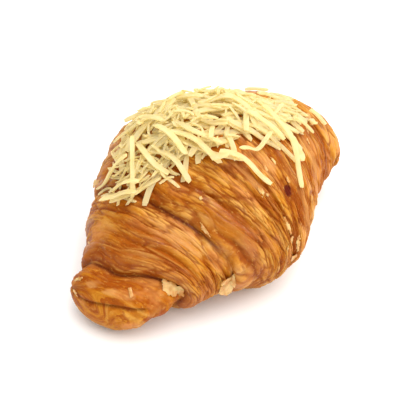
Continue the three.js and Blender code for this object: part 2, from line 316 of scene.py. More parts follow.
def noise(x, y, seed):
    """Smooth noise from -1 to 1, one bump per unit of x and y."""
    i, j = np.floor(x), np.floor(y)
    u, v = x - i, y - j
    u, v = u * u * (3 - 2 * u), v * v * (3 - 2 * v)
    near = hashed(i, j, seed) * (1 - u) + hashed(i + 1, j, seed) * u
    far = hashed(i, j + 1, seed) * (1 - u) + hashed(i + 1, j + 1, seed) * u
    return 2 * (near * (1 - v) + far * v) - 1


def layered_noise(x, y, seed, layers=3):
    """Noise with finer and fainter layers added."""
    total = sum(noise(x * 2 ** k, y * 2 ** k, seed + k) / 2 ** k for k in range(layers))
    return total / (2 - 2 ** (1 - layers))


def smooth_step(low, high, value):
    t = np.clip((value - low) / (high - low), 0, 1)
    return t * t * (3 - 2 * t)


def spread(number, low, high, seed):
    """A repeatable value between two others for a whole number."""
    return low + (high - low) * float(hashed(np.array(number), np.array(0), seed))


def unit(vectors):
    """Vectors with the same direction and a length of 1."""
    return vectors / np.maximum(np.linalg.norm(vectors, axis=-1, keepdims=True), 1e-9)


# %% [markdown]
# ## The crust
#
# The crust's points lie on a grid: one direction runs along the roll, ring by ring, and the
# other runs round it. Since every ring follows the slant of the nearest edge of dough, streaks
# and cracks that are drawn ring by ring lie the way the dough was rolled. On the smooth roll come,
# from coarse to fine: the dips and overhanging lips at the edges, soft folds, thin overlapping
# sheets of dough, and the fine ripple of the blistered skin.

# %% Grid of the crust
RINGS = 760
SECTORS = 400
ring_share = np.linspace(-1, 1, RINGS)
ring = (0.62 * ring_share + 0.38 * np.sin(ring_share * math.pi / 2))[:, None]
angle = np.linspace(-90, 270, SECTORS + 1)[None, :-1]
slant_share = slant_share_at(angle)
along = np.clip(ring + ring_slant_at(ring) * slant_share, -1, 1)
theta = np.radians(angle)
rounding = tip_rounding(along)
plain_y = half_width_at(along) * rounding * np.cos(theta)
plain_z = spine_z_at(along) + half_width_at(along) * rounding * flattening_at(along) * np.sin(theta)
# Where each point's ring meets the middle of the roll, in mm.
ring_x = ring * LENGTH / 2 + 0 * angle
# Distances over the crust in mm: across the streaks, and along them round the roll from the
# side that faces the camera. On the two blunt ends, where all rings shrink to a point, heights
# and widths take over. The roll is flattened, so the way round it is shorter than round a circle
# of its width.
FACING = math.radians(120)
FLATTENED = 0.8
FAR_END_START = 28.0
profile = half_width_at(ring) * tip_rounding(ring)
steps = np.hypot(np.diff(ring * LENGTH / 2, axis=0), np.diff(profile, axis=0))
run_along = np.concatenate([[[0]], np.cumsum(steps, axis=0)])
on_the_end = 1 - smooth_step(0.4, 0.8, rounding)
end_height = plain_z + np.where(ring > 0, run_along[-1] - FAR_END_START, 0)
across = (1 - on_the_end) * run_along + on_the_end * end_height
way_round = (theta - FACING) * half_width_at(ring) * FLATTENED
around = (1 - on_the_end) * way_round + on_the_end * plain_y


# %% [markdown]
# ### Dips and lips
#
# Where a turn of dough ends, the roll dips and the next turn comes out from under it. The dip is
# steep on the side of the upper turn and long on the lower one. The edge itself is pushed over the
# dip, so that it overhangs and throws a thin shadow. A crease like this could be sculpted by
# hand, but pushing the grid keeps the surface whole and the edge where the list puts it.

# %% Dips and lips where one turn of dough lies over the next
# How far a dip and its band of painted shade reach to each side of the edge, in mm.
LONG_SIDE, SHORT_SIDE = 7.0, 2.5
SHADE_ON_LOWER_TURN, SHADE_ON_UPPER_TURN = 4.0, 5.0
dip = np.zeros_like(along)
crease = np.zeros_like(along)
shade = np.zeros_like(along)
slide = np.zeros_like(along)
for number, (top, slant, depth, lip) in enumerate(WRAP_EDGES):
    inwards = 1 if top < 0 else -1
    wander = 0.9 * layered_noise(around / 16, 0 * around, 40 + number)
    away = (along - top - slant * slant_share) * inwards * LENGTH / 2 + wander
    reach = np.where(away < 0, LONG_SIDE, SHORT_SIDE)
    strength = 1 + 0.35 * noise(around / 22, 0 * around, 50 + number)
    dip += depth * strength * np.exp(-(away / reach) ** 2)
    lip_here = lip * (0.8 + 0.5 * noise(around / 9, 0 * around, 60 + number))
    overhang = smooth_step(0, 2.6, away) * (1 - smooth_step(3.0, 11.0, away))
    slide -= inwards * lip_here * overhang
    # Painted shade: a thin, broken dark line in the crease under the lip.
    broken = smooth_step(-1.2, -0.2, noise(around / 7, 0 * around, 70 + number))
    line = np.exp(-((away + 0.1) / 0.8) ** 2) * broken
    crease = np.maximum(crease, line * min(1, lip / 1.4))
    # A band of painted shade beside the edge, which the colour turns deep orange.
    shade_reach = np.where(away < 0.8, SHADE_ON_LOWER_TURN, SHADE_ON_UPPER_TURN)
    shade = np.maximum(shade, np.exp(-((away - 0.8) / shade_reach) ** 2))
print("deepest dip in mm:", round(float(dip.max()), 2))

# %% [markdown]
# ### Soft folds
#
# The dough shrinks as it bakes and draws the turns into soft folds. A fold has a short steep side
# and a longer one, and fades out round the roll.

# %% Soft folds inside the turns
# Each fold: its ring, where round the roll it is deepest, how far it reaches, its depth in mm.
SOFT_FOLDS = [
    (-0.81, 95, 50, 1.6),
    (-0.765, 80, 60, 2.0),
    (-0.72, 115, 60, 3.2),
    (-0.66, 105, 50, 2.4),
    (-0.605, 95, 45, 1.6),
    (-0.575, 145, 45, 1.4),
    (-0.37, 130, 55, 2.5),
    (-0.29, 150, 40, 1.5),
    (-0.19, 140, 50, 2.4),
    (-0.06, 155, 40, 1.9),
    (0.12, 150, 45, 1.5),
    (0.45, 140, 60, 1.4),
    (0.62, 120, 70, 1.1),
    (-0.62, 20, 60, 1.2),
    (-0.3, 25, 60, 1.0),
    (-0.05, 15, 50, 0.8),
    (0.15, 30, 50, 0.9),
    (0.5, 20, 60, 1.1),
    (0.68, 15, 60, 0.9),
    (0.9, 90, 120, 0.9),
]
# The steep side of a fold is this wide in mm, and the other side is wider.
FOLD_WIDTH = 1.3
LONG_SIDE_OF_FOLD = 1.8
fold = np.zeros_like(along)
for number, (place, middle, round_reach, depth) in enumerate(SOFT_FOLDS):
    wander = 1.6 * layered_noise(around / 20, 0 * around, 80 + number)
    away = ring_x - place * LENGTH / 2 + wander
    fade = np.exp(-((angle - middle) / round_reach) ** 2)
    reach = np.where(away < 0, FOLD_WIDTH * LONG_SIDE_OF_FOLD, FOLD_WIDTH)
    fold += depth * fade * np.exp(-np.abs(away) / reach)
print("deepest fold in mm:", round(float(fold.max()), 2))

# %% [markdown]
# ### Torn sheets and fine wrinkles
#
# Croissant dough is dozens of sheets with butter between them. In the oven they part, and the
# outer ones tear into long scales. Long irregular cells stand for the scales: each cell lies at a
# height of its own, and the lines between cells become the torn edges. The same cells at a smaller
# size give the wrinkles of the skin.


# %% Cells and patches
def cells(step_across, step_around, warp, seed):
    """Irregular long cells: how far each point is from the edge of its cell, and a random number
    from 0 to 1 for each cell. Distances count in cells."""
    x = across / step_across + warp * layered_noise(across / step_across, around / step_around, seed)
    y = around / step_around + warp * layered_noise(across / step_across, around / step_around, seed + 9)
    nearest = np.full(x.shape, 9.0)
    second = np.full(x.shape, 9.0)
    number = np.zeros(x.shape)
    for step_i in (-1, 0, 1):
        for step_j in (-1, 0, 1):
            i, j = np.floor(x) + step_i, np.floor(y) + step_j
            away = np.hypot(x - i - hashed(i, j, seed + 1), y - j - hashed(i, j, seed + 2))
            second = np.minimum(second, np.maximum(away, nearest))
            number = np.where(away < nearest, hashed(i, j, seed + 3), number)
            nearest = np.minimum(nearest, away)
    return second - nearest, number


def patches(step_across, step_around, low, high, seed):
    """Soft patches, 1 inside and 0 outside."""
    return smooth_step(low, high, layered_noise(across / step_across, around / step_around, seed))


# %% Sheets, wrinkles, ridges and blisters
# The steps of each pattern are in mm, across the streaks and along them.
# Thin sheets of dough lie over one another, and each ends in a fine torn edge.
sheet_inside, sheet_number = cells(6.5, 26, 0.5, 110)
scale_inside, scale_number = cells(2.8, 11, 0.6, 130)
sheet_edge = np.exp(-(sheet_inside / 0.07) ** 2) * patches(18, 24, -0.6, 0.0, 9)
scale_edge = np.exp(-(scale_inside / 0.12) ** 2) * patches(13, 18, -0.35, 0.2, 11)
# Wrinkles of the skin run round the roll, and fork.
wrinkle_inside = cells(1.5, 9, 0.7, 150)[0]
wrinkle = np.exp(-(wrinkle_inside / 0.2) ** 2) * patches(9, 14, -0.25, 0.3, 13)
pleat_field = layered_noise(across / 8, around / 40, 3)
pleat = np.exp(-(pleat_field / 0.16) ** 2) * patches(20, 24, -0.4, 0.2, 15)
# The narrow turn next to the near tip is drawn into ridges, and the wide turns a little.
narrow_turn = smooth_step(-0.95, -0.82, ring) * (1 - smooth_step(-0.52, -0.42, ring))
ridge = layered_noise(across / 3.6, around / 38, 33) * (0.4 + 0.6 * narrow_turn)
near_tip = 1 - smooth_step(-0.9, -0.84, along - 0.25 * slant_share)
ripple = layered_noise(across / 1.3, around / 5, 19)
blister = layered_noise(across / 4, around / 6, 21)
lump = layered_noise(across / 26, around / 24, 23)
scaly = layered_noise(across / 0.9, around / 2.2, 27) * patches(7, 10, -0.4, 0.3, 29)
print("share of the crust under torn edges:", round(float((sheet_edge > 0.5).mean()), 3))

# %% [markdown]
# ### Seams, painted highlights and a burned spot
#
# A few features are single ones and are placed one by one: the seams on the two ends, pale peach patches
# of painted highlight, and one burst blister.

# %% The single features
# The last strip of dough is tucked under at the two ends and leaves a seam low on them.
seam_away = plain_z - 17 + 0.2 * plain_y - 1.5 * noise(plain_y / 12, 0 * around, 25)
tucked = smooth_step(0.8, 0.86, np.abs(along))
seam = np.exp(-(seam_away / 0.8) ** 2) * tucked
# Painted highlights: pale peach patches on the crust. For each patch: its ring, angle, half width and
# half length in mm.
PAINTED_HIGHLIGHT_PATCHES = [
    (-0.60, 126, 5, 16),
    (-0.13, 127, 3, 10),
    (0.60, 152, 5, 12),
    (-0.95, 88, 1.6, 7),
    (-0.945, 116, 1.2, 5),
    (-0.93, 134, 1.0, 5),
    (0.08, 120, 5, 10),
    (0.25, 165, 4, 12),
    (0.75, 60, 6, 16),
    (-0.30, 30, 5, 14),
    (0.45, 20, 5, 16),
]
# The mean radius of the roll in mm turns an angle into a length.
MEAN_RADIUS = 38
painted_highlight = np.zeros_like(along)
for number, (place, middle, half_wide, half_long) in enumerate(PAINTED_HIGHLIGHT_PATCHES):
    away = np.hypot((ring_x - place * LENGTH / 2) / half_wide,
                    (theta - math.radians(middle)) * MEAN_RADIUS / half_long)
    streaky = layered_noise(across / 1.4, around / 6, 90 + number)
    painted_highlight = np.maximum(painted_highlight, (1 - smooth_step(0.3, 1.1, away + 0.9 * streaky)))
# One blister has burst and burned: its ring and angle, half its width in mm, and half its length
# in degrees.
SPOT_RING, SPOT_ANGLE, SPOT_HALF_WIDE, SPOT_HALF_LONG = 0.13, 143, 2.5, 3.2
spot_away = np.hypot((ring_x - SPOT_RING * LENGTH / 2) / SPOT_HALF_WIDE,
                     (angle - SPOT_ANGLE) / SPOT_HALF_LONG)
spot = 1 - smooth_step(0.7, 1.3, spot_away + 0.4 * blister)
print("burned points of the grid:", int((spot > 0.5).sum()))

# %% How far each point stands out of its neighbourhood
# Painted shade: the colour goes deep orange in the valleys and stays gold on the ridges, over a tone of
# its own for each sheet and scale. 0 is a valley and 1 is a ridge.
standing = 0.5 + 0.26 * (sheet_number - 0.5) + 0.24 * (scale_number - 0.5) + 0.1 * ripple
standing += 0.16 * np.abs(pleat_field) - 0.35 * pleat - 0.12 * wrinkle + 0.55 * ridge
# The thin near tip is smooth, bakes through first and is deeper in colour.
standing = (1 - 0.6 * near_tip) * standing - 0.05 * narrow_turn - 0.2 * near_tip
print("standing out, on average:", round(float(standing.mean()), 2))

# %% Points of the crust
# Heights in mm over the smooth roll. They die away at the tips, where all rings meet.
tame = np.minimum(1, rounding * 1.3)
relief = 0.5 * sheet_number + 0.3 * scale_number - 0.5 * sheet_edge - 0.4 * scale_edge
relief += 0.25 * np.minimum(scale_inside, 0.6) - 0.9 * pleat - 0.4 * wrinkle
relief += 0.9 * ridge
relief *= (1 - 0.6 * on_the_end) * (1 - 0.4 * near_tip)
relief += 0.2 * ripple + 0.25 * blister + 0.6 * lump + 0.3 * scaly - 0.3 * spot - 0.9 * seam
radius = half_width_at(along) * rounding - (dip + fold) * tame + relief * tame
radius = np.maximum(radius, 0)
crust_x = along * LENGTH / 2 + slide * tame - np.sign(along) * 0.8 * seam
crust_y = spine_y_at(along) + radius * np.cos(theta)
crust_z = spine_z_at(along) + radius * flattening_at(along) * np.sin(theta)
crust_z = np.maximum(crust_z, 0)
centre_y = (crust_y.min() + crust_y.max()) / 2
crust_points = np.stack([crust_x, crust_y - centre_y, crust_z], axis=-1)
print("crust in mm:", [round(float(np.ptp(v)), 1) for v in (crust_x, crust_y, crust_z)])


# %% Mesh of the crust
def grid_faces(rows, columns):
    """Faces of a grid that closes round its columns."""
    i, j = np.meshgrid(np.arange(rows - 1), np.arange(columns), indexing="ij")
    after = (j + 1) % columns
    corners = [i * columns + j, (i + 1) * columns + j, (i + 1) * columns + after, i * columns + after]
    return np.stack([corner.ravel() for corner in corners], axis=1)


def mesh_object(name, points, faces, material):
    """A smooth mesh object from points in mm and lists of the corners of its faces."""
    mesh = bpy.data.meshes.new(name)
    mesh.from_pydata((np.asarray(points) * MM).tolist(), [], [list(map(int, f)) for f in faces])
    mesh.validate()
    mesh.materials.append(material)
    mesh.shade_smooth()
    piece = bpy.data.objects.new(name, mesh)
    bpy.context.scene.collection.objects.link(piece)
    return piece


def add_values(piece, name, values):
    """Stores one number per point of a mesh, for its material to read."""
    attribute = piece.data.attributes.new(name, "FLOAT", "POINT")
    attribute.data.foreach_set("value", np.asarray(values, np.float32).ravel())


# %% [markdown]
# ## The finish of the crust
#
# Before baking, the dough is brushed with beaten egg. The egg sets to a thin, glossy, slightly
# uneven film, and the sugars under it brown from gold to deep orange, each sheet a little
# differently, and the crust stays pale and matt near the tray where no egg was brushed. Shade and
# light are painted into the colour too: painted shade, deep orange in the valleys and folds and
# red-brown in the creases, and pale peach patches of painted highlight and sheen. The material
# mixes those colours by values that the shape already knows, such as how deep in a crease a point
# lies, and by streaky noise that is stretched round the roll.

# %% Finish: egg-washed laminated dough
GOLD = "#C58322"
PALE_GOLD = "#D8A34F"
AMBER = "#B3670F"
DEEP_ORANGE = "#984803"
CRACK_ORANGE = "#843B04"
# A red-brown for the painted shade in the creases.
CREASE_BROWN = "#5E2303"
UNGLAZED = "#B7843B"
# A pale peach for painted highlights.
PAINTED_HIGHLIGHT_PEACH = "#D49958"
# A pale peach for painted sheen.
PAINTED_SHEEN_PEACH = "#CC8442"
BURNED_RED = "#5E1C09"
BARE_ROUGHNESS = (0.6, 0.6, 0.6, 1)
NO_EGG = (0, 0, 0, 1)


def stretched(tree, rolled, step_across, step_around, offset=0.0):
    """Places on the crust, counted in steps of so many mm across and along the streaks."""
    scaled = add_node(tree, "ShaderNodeVectorMath", {"operation": "MULTIPLY"},
                      {0: rolled, 1: (1 / step_across, 1 / step_around, 0)})
    moved = add_node(tree, "ShaderNodeVectorMath", {"operation": "ADD"},
                     {0: scaled.outputs[0], 1: (offset, offset, offset)})
    return moved.outputs[0]


def streaks(tree, rolled, step_across, step_around, detail=4.0, roughness=0.55, offset=0.0):
    """Noise stretched round the roll."""
    place = stretched(tree, rolled, step_across, step_around, offset)
    texture = add_node(tree, "ShaderNodeTexNoise", links={"Vector": place},
                       Scale=1.0, Detail=detail, Roughness=roughness)
    return texture.outputs["Fac"]


def fine_colour(tree, rolled):
    """Coloured noise that pushes other textures about, so that their edges turn ragged."""
    place = stretched(tree, rolled, 1.2, 2.4, 41)
    texture = add_node(tree, "ShaderNodeTexNoise", links={"Vector": place}, Scale=1.0, Detail=3.0)
    return texture.outputs["Color"]


# %% The baked colour
def baked_streaks(tree, rolled, standing):
    """Streaks 1 mm wide, and ragged scales of skin, a few millimetres across, each a little different in
    tone, with painted shade: deep orange in the valleys and gold where the skin stands out."""
    fine = streaks(tree, rolled, 1.2, 8)
    streak = add_node(tree, "ShaderNodeMix", MIX, {0: 0.45, 6: fine, 7: standing})
    pushed = add_node(tree, "ShaderNodeVectorMath", {"operation": "MULTIPLY_ADD"}, {
        0: fine_colour(tree, rolled), 1: (1.6, 1.6, 0), 2: stretched(tree, rolled, 2.6, 7)})
    scale = add_node(tree, "ShaderNodeTexVoronoi", links={"Vector": pushed.outputs[0]}, Scale=1.0)
    streak = add_node(tree, "ShaderNodeMix", MIX,
                      {0: 0.22, 6: streak.outputs[2], 7: scale.outputs["Color"]})
    baked = add_node(tree, "ShaderNodeValToRGB", links={0: streak.outputs[2]}, stops=[
        (0.30, DEEP_ORANGE), (0.38, AMBER), (0.48, GOLD), (0.66, PALE_GOLD)])
    return baked.outputs[0]


def layered_colour(tree, rolled, known):
    """The baked streaks under all the layers of colour that lie over them."""
    patch = streaks(tree, rolled, 16, 26, detail=3, offset=11)
    # Painted sheen: soft pale patches in the colour, where a glaze would catch the light.
    painted_sheen = streaks(tree, rolled, 7, 16, detail=3, offset=53)
    fleck = streaks(tree, rolled, 0.8, 2.2, detail=3, roughness=0.7, offset=31)
    # From the lowest layer up: where each shows, how much of it shows at which value of a noise,
    # and its colour.
    layers = [
        (patch, [(0.48, 0.0), (0.7, 0.5)], AMBER),
        (painted_sheen, [(0.5, 0.0), (0.6, 0.75)], PAINTED_SHEEN_PEACH),
        # Painted shade in the folds and beside the edges, deeper towards the bottom.
        (known["fold"], None, DEEP_ORANGE),
        (known["sheet_edge"], None, PALE_GOLD),
        (known["crack"], None, CRACK_ORANGE),
        # Painted shade in the creases.
        (known["crease"], None, CREASE_BROWN),
        (fleck, [(0.56, 0.0), (0.72, 0.55)], DEEP_ORANGE),
        (fleck, [(0.28, 0.5), (0.42, 0.0)], PALE_GOLD),
        # Painted highlights.
        (known["painted_highlight"], None, PAINTED_HIGHLIGHT_PEACH),
        (known["unglazed"], None, UNGLAZED),
        (known["spot"], None, BURNED_RED),
    ]
    colour = baked_streaks(tree, rolled, known["standing"])
    for share, stops, layer in layers:
        if stops:
            share = add_node(tree, "ShaderNodeValToRGB", links={0: share}, stops=stops).outputs[0]
        mixed = add_node(tree, "ShaderNodeMix", MIX, {0: share, 6: colour, 7: linear(layer)})
        colour = mixed.outputs[2]
    return colour


# %% The film of egg
def skin_roughness(tree, rolled, unglazed):
    """Satin where the egg has set, and rougher where the skin is bare of it."""
    glazed = add_node(tree, "ShaderNodeValToRGB", stops=[(0.35, 0.38), (0.65, 0.55)],
                      links={0: streaks(tree, rolled, 1.2, 8)})
    shine = add_node(tree, "ShaderNodeMix", MIX,
                     {0: unglazed, 6: glazed.outputs[0], 7: BARE_ROUGHNESS})
    return shine.outputs[2]


def egg_film(tree, rolled, standing, spot):
    """How thick the egg lies: it pools in patches on the ridges, and has burned off the spot."""
    pooled = add_node(tree, "ShaderNodeValToRGB", stops=[(0.45, 0.0), (0.6, 0.45)],
                      links={0: streaks(tree, rolled, 7, 12, detail=3, offset=23)})
    on_ridges = add_node(tree, "ShaderNodeValToRGB", links={0: standing},
                         stops=[(0.35, 0.0), (0.6, 1.0)])
    egg = add_node(tree, "ShaderNodeMix", MULTIPLY,
                   {0: 1.0, 6: pooled.outputs[0], 7: on_ridges.outputs[0]})
    egg = add_node(tree, "ShaderNodeMix", MIX, {0: spot, 6: egg.outputs[2], 7: NO_EGG})
    return egg.outputs[2]


# %% The crust's material
def make_crust_material():
    material, tree = new_material("egg_washed_laminated_dough")
    rolled = add_node(tree, "ShaderNodeAttribute", {"attribute_name": "rolled"}).outputs["Vector"]
    # What the shape knows of itself, stored point by point.
    known = {}
    for name in ("standing", "fold", "sheet_edge", "crack", "crease", "painted_highlight", "unglazed", "spot"):
        known[name] = add_node(tree, "ShaderNodeAttribute", {"attribute_name": name}).outputs["Fac"]
    grain = streaks(tree, rolled, 0.9, 2.2, detail=5, roughness=0.65, offset=17)
    bump = add_node(tree, "ShaderNodeBump", links={"Height": grain}, Strength=0.7, Distance=0.5 * MM)
    # A little light goes 2 mm into the crumb and comes out warmer. The egg is a coat over the skin.
    shader = add_node(
        tree, "ShaderNodeBsdfPrincipled",
        links={"Base Color": layered_colour(tree, rolled, known),
               "Roughness": skin_roughness(tree, rolled, known["unglazed"]),
               "Normal": bump.outputs[0],
               "Coat Weight": egg_film(tree, rolled, known["standing"], known["spot"])},
        Specular_IOR_Level=0.08, Coat_Roughness=0.2, Coat_IOR=1.5,
        Subsurface_Weight=0.1, Subsurface_Scale=2.0 * MM, Subsurface_Radius=(1.0, 0.45, 0.15))
    add_node(tree, "ShaderNodeOutputMaterial", links={"Surface": shader.outputs[0]})
    return material


# %% What the shape knows of itself
def store_values(crust):
    """Stores on the crust what its material reads at each point."""
    rolled = crust.data.attributes.new("rolled", "FLOAT_VECTOR", "POINT")
    places = np.stack([across, around, 0 * across], axis=-1)
    rolled.data.foreach_set("vector", places.astype(np.float32).ravel())
    # Painted shade in the creases and along the seams of the ends.
    add_values(crust, "crease", np.clip(np.maximum(crease * tame, 0.6 * seam), 0, 1))
    add_values(crust, "spot", np.clip(spot * 1.3, 0, 1))
    # Painted highlights, at half strength.
    add_values(crust, "painted_highlight", 0.5 * painted_highlight)
    # Painted shade: deep orange down in the folds and in a band beside each edge of a turn. The colour
    # is also deeper towards the bottom of the roll.
    low = 1 - smooth_step(6, 30, crust_z)
    add_values(crust, "fold", np.clip(0.5 * (fold - 0.6) + 0.7 * shade + 0.4 * low, 0, 0.9) * tame)
    cracks = 0.8 * sheet_edge + 0.65 * scale_edge + 0.7 * wrinkle + 0.5 * pleat
    smooth_skin = 0.6 * np.maximum(on_the_end, near_tip)
    add_values(crust, "crack", np.clip(cracks, 0, 0.85) * (1 - smooth_skin))
    # A torn sheet is pale just inside its edge.
    pale_edge = smooth_step(0.08, 0.16, sheet_inside) * (1 - smooth_step(0.16, 0.4, sheet_inside))
    add_values(crust, "sheet_edge", 0.5 * pale_edge * patches(5, 12, 0.05, 0.5, 31))
    add_values(crust, "standing", np.clip(standing, 0, 1))
    add_values(crust, "unglazed", 0.75 * (1 - smooth_step(1.5, 12, crust_z + 3 * ripple)))


# %% The crust as a piece
# Points nearer than this, in metres, are welded: the rings shrink to one point at each tip.
WELD = 1e-6


def build_crust():
    # This grid winds the other way from a shred's, so its faces are turned to look outwards.
    outward_faces = grid_faces(RINGS, SECTORS)[:, ::-1]
    crust = mesh_object("baked_crust", crust_points.reshape(-1, 3), outward_faces,
                        make_crust_material())
    store_values(crust)
    edit = bmesh.new()
    edit.from_mesh(crust.data)
    bmesh.ops.remove_doubles(edit, verts=edit.verts, dist=WELD)
    edit.to_mesh(crust.data)
    edit.free()
    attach(crust, "root")
    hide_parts("croissant")
    return crust


crust_piece = build_crust()
print("crust faces:", len(crust_piece.data.polygons))

# %% [markdown]
# ## Loose flakes
#
# The outermost sheets of a croissant dry out, puff and break away as pale, brittle flakes. Each
# flake is a small crumpled sheet with a ragged outline. One side of it stays on the crust where
# it tore and the other stands off. It gets a back face and an edge, because a flake is about a
# fifth of a millimetre thick.

# %% Cutting flakes
crust_normals = unit(np.cross(np.gradient(crust_points, axis=1), np.gradient(crust_points, axis=0)))
FLAKE_THICKNESS = 0.2
FLAKE_STEP = 0.35


def flake(place, middle, half_wide, half_long, turn, tilt, seed):
    """Points and faces of a flake: its ring and angle, half its size in mm, its turn in radians,
    and how steeply it stands off the crust."""
    i = int(np.argmin(np.abs(ring[:, 0] - place)))
    j = int(np.argmin(np.abs(angle[0] - middle)))
    outward = unit(crust_normals[i - 6:i + 7, j].mean(axis=0))
    round_way = unit(crust_points[i, (j + 3) % SECTORS] - crust_points[i, j - 3])
    along_way = unit(np.cross(outward, round_way))
    wide_way = along_way * math.cos(turn) + round_way * math.sin(turn)
    long_way = round_way * math.cos(turn) - along_way * math.sin(turn)
    u = np.arange(-1.4, 1.4, FLAKE_STEP / half_wide)[:, None]
    v = np.arange(-1.4, 1.4, FLAKE_STEP / half_long)[None, :]
    ragged = 0.3 * noise(3 + 1.3 * np.arctan2(v, u), 0 * u + 0 * v, seed)
    ragged += 0.2 * noise(u * half_wide / 0.9 + 0 * v, v * half_long / 1.1 + 0 * u, seed + 1)
    inside = np.hypot(u, v) + ragged < 0.9
    crumple = layered_noise(u * half_wide / 1.5 + 0 * v, v * half_long / 3 + 0 * u, seed + 2)
    bend = -0.06 * half_long * v ** 2
    lift = 0.1 + tilt * half_wide * (u + 1) + bend + 0.4 * min(1, half_wide / 2) * crumple
    middle_line = crust_points[i, j] + u[..., None] * half_wide * wide_way
    under = middle_line + v[..., None] * half_long * long_way + lift[..., None] * outward
    over = under + outward * FLAKE_THICKNESS
    kept = inside[:-1, :-1] & inside[1:, :-1] & inside[1:, 1:] & inside[:-1, 1:]
    number = np.arange(inside.size).reshape(inside.shape)
    quads = np.stack([number[:-1, :-1], number[1:, :-1], number[1:, 1:], number[:-1, 1:]], -1)[kept]
    # An edge that two quads share is met once each way, so only the rim is left.
    edges = {}
    for quad in quads.tolist():
        for first, second in zip(quad, quad[1:] + quad[:1]):
            if (second, first) in edges:
                del edges[second, first]
            else:
                edges[first, second] = True
    faces = quads[:, ::-1].tolist() + (quads + inside.size).tolist()
    faces += [[a, b, b + inside.size, a + inside.size] for a, b in edges]
    points = np.vstack([over.reshape(-1, 3), under.reshape(-1, 3)])
    used = np.unique(np.array(faces, int)) if faces else np.zeros(0, int)
    renumbered = np.zeros(len(points), int)
    renumbered[used] = np.arange(len(used))
    return points[used], renumbered[np.array(faces, int).reshape(-1, 4)].tolist()


# %% Finish: dry flakes
FLAKE_TOASTED = "#B97C34"
FLAKE_PALE = "#DDB274"


def make_flake_material():
    # Dry puffed dough is pale and matt, and the light shines a little way through it.
    material, tree = new_material("dry_puffed_dough_flakes")
    place = add_node(tree, "ShaderNodeTexCoord").outputs["Object"]
    # Toasted spots are a few millimetres across.
    toast = add_node(tree, "ShaderNodeTexNoise", links={"Vector": place}, Scale=300.0, Detail=4.0)
    colour = add_node(tree, "ShaderNodeValToRGB", links={0: toast.outputs["Fac"]},
                      stops=[(0.38, FLAKE_TOASTED), (0.62, FLAKE_PALE)])
    shader = add_node(
        tree, "ShaderNodeBsdfPrincipled", links={"Base Color": colour.outputs[0]}, Roughness=0.5,
        Specular_IOR_Level=0.3, Subsurface_Weight=0.3, Subsurface_Scale=1.0 * MM)
    add_node(tree, "ShaderNodeOutputMaterial", links={"Surface": shader.outputs[0]})
    return material


# Each flake: ring, angle, half its width and length in mm, its turn in radians, its tilt.
LARGE_FLAKES = [
    (-0.545, 198, 4.2, 4.6, 0.5, 0.35),
    (-0.56, 186, 2.6, 3.6, -0.3, 0.25),
    (-0.50, 190, 1.6, 4.0, 0.1, 0.4),
    (-0.985, 55, 1.6, 2.6, 0.2, 0.4),
    (-0.925, 132, 1.0, 2.4, 0.8, 0.1),
    (-0.87, 168, 3.4, 4.8, 0.3, 0.12),
    (-0.86, 180, 2.0, 3.4, 0.0, 0.3),
    (-0.07, 158, 0.9, 5.4, 0.1, 0.3),
    (-0.06, 172, 1.4, 4.4, -0.2, 0.35),
    (-0.07, 188, 2.6, 3.4, -0.3, 0.3),
    (0.05, 176, 1.0, 4.0, 0.2, 0.3),
    (-0.475, 133, 1.1, 4.0, 0.2, 0.15),
    (-0.14, 134, 1.0, 4.5, 0.1, 0.15),
    (0.34, 60, 1.6, 4.5, 0.2, 0.3),
    (-0.45, 20, 2.0, 4.0, -0.2, 0.35),
    (0.8, 120, 1.6, 4.0, 0.3, 0.3),
]
SMALL_FLAKES = 26


def join(parts):
    """Joins several (points, faces) pairs into one."""
    starts = np.cumsum([0] + [len(points) for points, faces in parts])
    faces = [[int(start) + c for c in face] for start, part in zip(starts, parts) for face in part[1]]
    return np.vstack([points for points, faces in parts]), faces


def build_flakes():
    parts = [flake(*numbers, 300 + k) for k, numbers in enumerate(LARGE_FLAKES)]
    for k in range(SMALL_FLAKES):
        place, middle = spread(k, -0.95, 0.95, 41), spread(k, -20, 210, 42)
        parts.append(flake(place, middle, spread(k, 0.6, 1.1, 43), spread(k, 1.2, 3.0, 44),
                           spread(k, -0.5, 0.5, 45), spread(k, 0.05, 0.2, 46), 400 + 3 * k))
    flakes = mesh_object("loose_flakes", *join([part for part in parts if part[1]]),
                         make_flake_material())
    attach(flakes, "root")
    return flakes


flakes_piece = build_flakes()
print("flake faces:", len(flakes_piece.data.polygons))

# %% [markdown]
# ## The shreds of cheese
#
# Each shred is a strip that a coarse grater has torn off: a little over two millimetres wide,
# softly rounded, a little hollow on one face and thinner at its torn ends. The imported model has
# a plain bar for each, so its middle line is read from the bar and a new strip is swept along
# it. A sweep keeps the strip's own shape in hand, which a modifier on the bar would not.


# %% The middle line of a packed shred
CORNERS_OF_A_SECTION = 4


def corner_points(node):
    """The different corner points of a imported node, in mm."""
    points = np.array([vertex.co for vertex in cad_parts[node].data.vertices]) / MM
    return np.unique(points.round(3), axis=0)


def middle_line(node):
    """Walks along a bar from one end to the other, and gives the middle of each section."""
    left = corner_points(node)
    start = left[np.argmax(np.linalg.norm(left - left.mean(0), axis=1))]
    middles = []
    while len(left) >= CORNERS_OF_A_SECTION:
        nearest = np.argsort(np.linalg.norm(left - start, axis=1))[:CORNERS_OF_A_SECTION]
        start = left[nearest].mean(0)
        middles.append(start)
        left = np.delete(left, nearest, axis=0)
    return np.array(middles)


shred_names = sorted(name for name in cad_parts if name.startswith("cheese_shred"))
shred_lines = {name: middle_line(name) for name in shred_names}
print(len(shred_lines), "shreds; first line in mm:", shred_lines[shred_names[0]].round(1).tolist())


